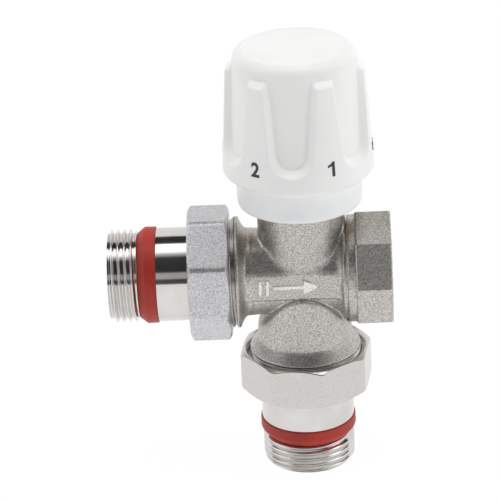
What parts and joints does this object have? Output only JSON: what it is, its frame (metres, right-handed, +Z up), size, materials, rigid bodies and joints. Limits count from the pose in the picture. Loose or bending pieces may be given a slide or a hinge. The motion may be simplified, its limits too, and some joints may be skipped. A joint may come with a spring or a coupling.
{
  "type": "thermostatic radiator valve",
  "caption": "Thermostatic radiator valve: forged body with union tailpieces and a side port with internal thread, and a ribbed handwheel head over a thermostatic element.",
  "frame": {"origin": "centre of the lower tailpiece's open end face, on the spindle axis", "axes": "+Z up the spindle towards the head, +X along the port axis towards the internally threaded port, -X towards the side union, the flow arrow and the dial's reading side face -Y"},
  "size_m": [0.0803, 0.0428, 0.127],
  "materials": {
    "blasted_nickel": "nickel-plated forged brass, shot-blasted before plating",
    "satin_nickel": "nickel-plated brass, satin",
    "bright_chrome": "turned brass, bright plated",
    "plain_brass": "turned brass",
    "stainless": "turned stainless steel",
    "spring_steel": "spring steel wire",
    "white_head": "moulded ABS, fine satin",
    "white_collar": "moulded ABS, satin",
    "inner_plastic": "moulded acetal",
    "capsule_metal": "drawn aluminium can, filled",
    "red_silicone": "moulded silicone",
    "black_rubber": "moulded EPDM"
  },
  "bodies": {
    "lower_tail": {"lower_tail": "bright_chrome", "lower_sealing_ring": "red_silicone", "lower_tail_o_ring": "black_rubber"},
    "lower_nut": {"lower_union_nut": "satin_nickel"},
    "valve": {"valve_body": "blasted_nickel", "bonnet": "plain_brass", "bonnet_o_ring": "black_rubber", "gland_nut": "plain_brass", "gland_o_rings": "black_rubber", "spring_retainer": "plain_brass", "return_spring": "spring_steel", "head_collar": "white_collar", "coupling_ring": "plain_brass"},
    "handwheel": {"handwheel": "white_head"},
    "sensor_carriage": {"sensor_holder": "inner_plastic", "sensor_capsule": "capsule_metal", "sensor_clip": "stainless", "overtravel_spring": "spring_steel"},
    "spindle": {"sensor_piston": "stainless", "spindle": "stainless", "spring_stop": "stainless", "valve_disc": "plain_brass", "seat_washer": "black_rubber", "disc_screw": "stainless"},
    "left_tail": {"left_tail": "bright_chrome", "left_sealing_ring": "red_silicone", "left_tail_o_ring": "black_rubber"},
    "left_nut": {"left_union_nut": "satin_nickel"}
  },
  "joints": [
    {"name": "lower_nut_turn", "type": "hinge", "parent": "lower_tail", "child": "lower_nut", "pos_m": [0, 0, 0.03], "axis": [0, 0, -1], "range_deg": [0, 1622]},
    {"name": "valve_lift", "type": "slide", "parent": "lower_tail", "child": "valve", "axis": [0, 0, 1], "range_m": [0, 0.00675]},
    {"name": "handwheel_turn", "type": "hinge", "parent": "valve", "child": "handwheel", "pos_m": [0, 0, 0.1], "axis": [0, 0, 1], "range_deg": [-90.5, 210.5]},
    {"name": "sensor_lift", "type": "slide", "parent": "valve", "child": "sensor_carriage", "axis": [0, 0, 1], "range_m": [-0.0006, 0.0014]},
    {"name": "piston_stroke", "type": "slide", "parent": "sensor_carriage", "child": "spindle", "axis": [0, 0, -1], "range_m": [0, 0.0008], "stiffness_N_per_m": 1500, "springref_m": -0.004, "deforming": ["return_spring"]},
    {"name": "left_tail_slide", "type": "slide", "parent": "valve", "child": "left_tail", "axis": [-1, 0, 0], "range_m": [0, 0.00675]},
    {"name": "left_nut_turn", "type": "hinge", "parent": "left_tail", "child": "left_nut", "pos_m": [-0.027, 0, 0.0592], "axis": [-1, 0, 0], "range_deg": [0, 1622]}
  ],
  "couplings": [
    {"joint": "lower_nut_turn", "follows": "valve_lift", "rad_per_m": 4188.8},
    {"joint": "left_nut_turn", "follows": "left_tail_slide", "rad_per_m": 4188.8},
    {"joint": "handwheel_turn", "follows": "sensor_lift", "rad_per_m": 2618}
  ]
}
